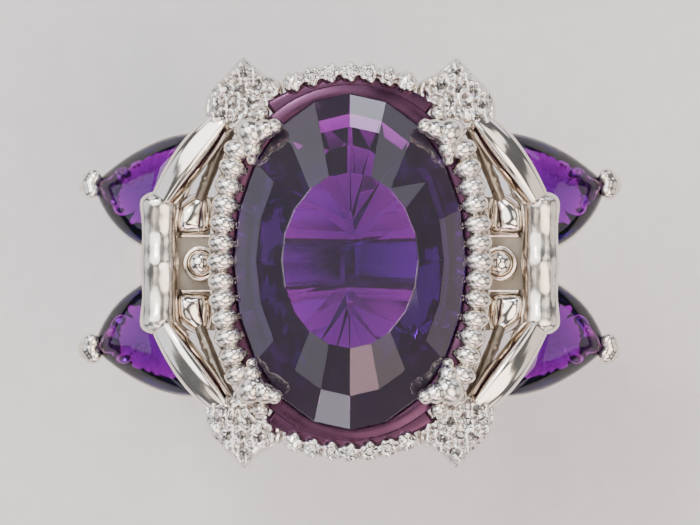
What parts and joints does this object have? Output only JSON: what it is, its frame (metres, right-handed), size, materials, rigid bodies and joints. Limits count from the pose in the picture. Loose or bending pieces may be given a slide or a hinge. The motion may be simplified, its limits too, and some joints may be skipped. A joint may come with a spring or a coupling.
{
  "type": "cocktail ring",
  "caption": "White-gold cocktail ring: large oval purple stone in a beaded oval setting, with pave leaves, arms and tilted purple trillion side stones on a round band.",
  "frame": {"origin": "centre of the finger bore", "axes": "+Y along the finger bore, +Z from the bore out through the table of the centre stone, +X across the head"},
  "size_m": [0.0258, 0.0194, 0.0278],
  "materials": {
    "white_gold": "polished, rhodium-bright, slightly warm",
    "textured_white_gold": "polished with bright-cut and beaded texture",
    "band_metal": "smooth high polish",
    "center_amethyst": "polished, faceted, deep purple",
    "side_amethyst": "polished, domed, purple",
    "cabochon": "polished round dome",
    "diamond": "small bright-cut colourless stones"
  },
  "bodies": {
    "root": {"arm_back_left": "white_gold", "arm_back_right": "white_gold", "arm_front_left": "white_gold", "arm_front_right": "white_gold", "beaded_rail_left": "white_gold", "beaded_rail_right": "white_gold", "center_stone": "center_amethyst", "claw_back_left": "white_gold", "claw_back_right": "white_gold", "claw_front_left": "white_gold", "claw_front_right": "white_gold", "collet_left": "white_gold", "collet_right": "white_gold", "collet_stone_left": "cabochon", "collet_stone_right": "cabochon", "crest_back": "textured_white_gold", "crest_front": "textured_white_gold", "crest_melee_back": "diamond", "crest_melee_front": "diamond", "gallery_base": "white_gold", "leaf_back_left": "textured_white_gold", "leaf_back_right": "textured_white_gold", "leaf_front_left": "textured_white_gold", "leaf_front_right": "textured_white_gold", "leaf_melee_back_left": "diamond", "leaf_melee_back_right": "diamond", "leaf_melee_front_left": "diamond", "leaf_melee_front_right": "diamond", "petal_back_left": "white_gold", "petal_back_right": "white_gold", "petal_front_left": "white_gold", "petal_front_right": "white_gold", "shank": "band_metal", "shoulder_left": "band_metal", "shoulder_plate_left": "white_gold", "shoulder_plate_right": "white_gold", "shoulder_right": "band_metal", "stone_cup": "white_gold", "strap_left": "textured_white_gold", "strap_right": "textured_white_gold", "trillion_basket_back_left": "white_gold", "trillion_basket_back_right": "white_gold", "trillion_basket_front_left": "white_gold", "trillion_basket_front_right": "white_gold", "trillion_stone_back_left": "side_amethyst", "trillion_stone_back_right": "side_amethyst", "trillion_stone_front_left": "side_amethyst", "trillion_stone_front_right": "side_amethyst", "under_arm_back_left": "white_gold", "under_arm_back_right": "white_gold", "under_arm_front_left": "white_gold", "under_arm_front_right": "white_gold", "v_claw_back_left": "white_gold", "v_claw_back_right": "white_gold", "v_claw_front_left": "white_gold", "v_claw_front_right": "white_gold"}
  },
  "joints": []
}
